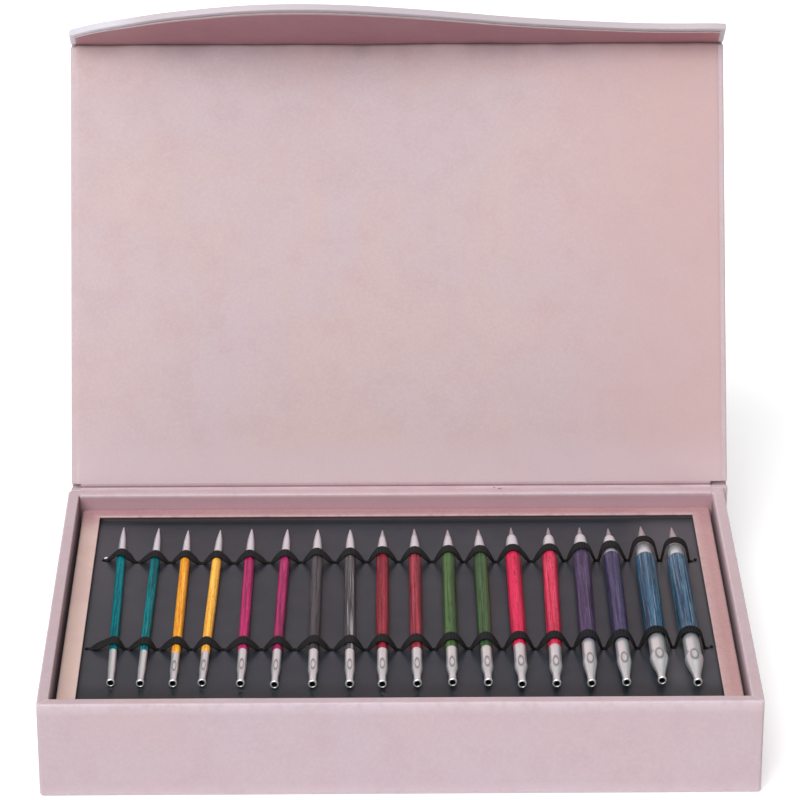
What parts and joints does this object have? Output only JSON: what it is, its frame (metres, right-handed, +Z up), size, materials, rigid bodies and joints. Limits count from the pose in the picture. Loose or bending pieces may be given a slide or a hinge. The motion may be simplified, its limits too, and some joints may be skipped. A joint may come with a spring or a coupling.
{
  "type": "knitting needle case",
  "caption": "Open board case with a book-style lid, a waved closing flap and a lift-out panel of interchangeable knitting needle tips held by two elastics.",
  "frame": {"origin": "centre of the tray's underside, on the surface that it rests on", "axes": "+X to the right along the front, +Y to the back where the lid hinges, +Z up"},
  "size_m": [0.2719, 0.2675, 0.2286],
  "materials": {
    "greyboard": "matte",
    "pink_cover_paper": "satin",
    "pink_lining_paper": "satin",
    "pink_card": "satin",
    "black_card": "matte",
    "black_elastic": "matte",
    "magnet": "satin",
    "needle_metal": "polished",
    "teal_wood": "gloss",
    "amber_wood": "gloss",
    "magenta_wood": "gloss",
    "grey_wood": "gloss",
    "wine_wood": "gloss",
    "green_wood": "gloss",
    "red_wood": "gloss",
    "purple_wood": "gloss",
    "blue_wood": "gloss"
  },
  "bodies": {
    "case": {"tray_floor_board": "greyboard", "tray_front_board": "greyboard", "tray_back_board": "greyboard", "tray_left_board": "greyboard", "tray_right_board": "greyboard", "tray_wrap_paper": "pink_cover_paper", "tray_floor_lining": "pink_lining_paper", "spine_board": "greyboard", "spine_cover_paper": "pink_cover_paper", "front_wall_magnets": "magnet"},
    "lid": {"lid_board": "greyboard", "lid_cover_paper": "pink_cover_paper", "lid_lining_paper": "pink_lining_paper", "lid_hinge_crease": "pink_cover_paper"},
    "flap": {"flap_board": "greyboard", "flap_cover_paper": "pink_cover_paper", "flap_lining_paper": "pink_lining_paper", "flap_magnets": "magnet", "flap_hinge_crease": "pink_cover_paper"},
    "platform": {"platform_frame": "pink_card", "panel_spacer_frame": "black_card", "needle_panel": "black_card", "rear_elastic": "black_elastic", "front_elastic": "black_elastic"},
    "needle_01": {"needle_01_shaft": "teal_wood", "needle_01_metal_ends": "needle_metal"},
    "needle_02": {"needle_02_shaft": "teal_wood", "needle_02_metal_ends": "needle_metal"},
    "needle_03": {"needle_03_shaft": "amber_wood", "needle_03_metal_ends": "needle_metal"},
    "needle_04": {"needle_04_shaft": "amber_wood", "needle_04_metal_ends": "needle_metal"},
    "needle_05": {"needle_05_shaft": "magenta_wood", "needle_05_metal_ends": "needle_metal"},
    "needle_06": {"needle_06_shaft": "magenta_wood", "needle_06_metal_ends": "needle_metal"},
    "needle_07": {"needle_07_shaft": "grey_wood", "needle_07_metal_ends": "needle_metal"},
    "needle_08": {"needle_08_shaft": "grey_wood", "needle_08_metal_ends": "needle_metal"},
    "needle_09": {"needle_09_shaft": "wine_wood", "needle_09_metal_ends": "needle_metal"},
    "needle_10": {"needle_10_shaft": "wine_wood", "needle_10_metal_ends": "needle_metal"},
    "needle_11": {"needle_11_shaft": "green_wood", "needle_11_metal_ends": "needle_metal"},
    "needle_12": {"needle_12_shaft": "green_wood", "needle_12_metal_ends": "needle_metal"},
    "needle_13": {"needle_13_shaft": "red_wood", "needle_13_metal_ends": "needle_metal"},
    "needle_14": {"needle_14_shaft": "red_wood", "needle_14_metal_ends": "needle_metal"},
    "needle_15": {"needle_15_shaft": "purple_wood", "needle_15_metal_ends": "needle_metal"},
    "needle_16": {"needle_16_shaft": "purple_wood", "needle_16_metal_ends": "needle_metal"},
    "needle_17": {"needle_17_shaft": "blue_wood", "needle_17_metal_ends": "needle_metal"},
    "needle_18": {"needle_18_shaft": "blue_wood", "needle_18_metal_ends": "needle_metal"}
  },
  "joints": [
    {"name": "lid_hinge", "type": "hinge", "parent": "case", "child": "lid", "pos_m": [0, 0.09255, 0.03975], "axis": [-1, 0, 0], "range_deg": [-117.1, 62.9]},
    {"name": "flap_hinge", "type": "hinge", "parent": "lid", "child": "flap", "pos_m": [0, 0.17661, 0.20275], "axis": [-1, 0, 0], "range_deg": [-15, 75]},
    {"name": "platform_lift", "type": "slide", "parent": "case", "child": "platform", "axis": [0, 0, 1], "range_m": [0, 0.06]},
    {"name": "needle_01_slide", "type": "slide", "parent": "platform", "child": "needle_01", "axis": [-0.0166, 0.9999, 0], "range_m": [-0.008, 0.0065]},
    {"name": "needle_02_slide", "type": "slide", "parent": "platform", "child": "needle_02", "axis": [0.0079, 1, 0], "range_m": [-0.008, 0.0065]},
    {"name": "needle_03_slide", "type": "slide", "parent": "platform", "child": "needle_03", "axis": [0.0058, 1, 0], "range_m": [-0.008, 0.0065]},
    {"name": "needle_04_slide", "type": "slide", "parent": "platform", "child": "needle_04", "axis": [0.023, 0.9997, 0], "range_m": [-0.008, 0.0065]},
    {"name": "needle_05_slide", "type": "slide", "parent": "platform", "child": "needle_05", "axis": [0.0087, 1, 0], "range_m": [-0.008, 0.0065]},
    {"name": "needle_06_slide", "type": "slide", "parent": "platform", "child": "needle_06", "axis": [0.022, 0.9998, 0], "range_m": [-0.008, 0.0065]},
    {"name": "needle_07_slide", "type": "slide", "parent": "platform", "child": "needle_07", "axis": [0.0068, 1, 0], "range_m": [-0.008, 0.0065]},
    {"name": "needle_08_slide", "type": "slide", "parent": "platform", "child": "needle_08", "axis": [0.0002, 1, 0], "range_m": [-0.008, 0.0065]},
    {"name": "needle_09_slide", "type": "slide", "parent": "platform", "child": "needle_09", "axis": [0.0061, 1, 0], "range_m": [-0.008, 0.0065]},
    {"name": "needle_10_slide", "type": "slide", "parent": "platform", "child": "needle_10", "axis": [0.004, 1, 0], "range_m": [-0.008, 0.0065]},
    {"name": "needle_11_slide", "type": "slide", "parent": "platform", "child": "needle_11", "axis": [0.0061, 1, 0], "range_m": [-0.008, 0.0065]},
    {"name": "needle_12_slide", "type": "slide", "parent": "platform", "child": "needle_12", "axis": [-0.0014, 1, 0], "range_m": [-0.008, 0.0065]},
    {"name": "needle_13_slide", "type": "slide", "parent": "platform", "child": "needle_13", "axis": [0.0035, 1, 0], "range_m": [-0.008, 0.0065]},
    {"name": "needle_14_slide", "type": "slide", "parent": "platform", "child": "needle_14", "axis": [0.0197, 0.9998, 0], "range_m": [-0.008, 0.0065]},
    {"name": "needle_15_slide", "type": "slide", "parent": "platform", "child": "needle_15", "axis": [0.0168, 0.9999, 0], "range_m": [-0.008, 0.0065]},
    {"name": "needle_16_slide", "type": "slide", "parent": "platform", "child": "needle_16", "axis": [0.0042, 1, 0], "range_m": [-0.008, 0.0065]},
    {"name": "needle_17_slide", "type": "slide", "parent": "platform", "child": "needle_17", "axis": [0.0035, 1, 0], "range_m": [-0.008, 0.0065]},
    {"name": "needle_18_slide", "type": "slide", "parent": "platform", "child": "needle_18", "axis": [-0.0035, 1, 0], "range_m": [-0.008, 0.0065]}
  ]
}
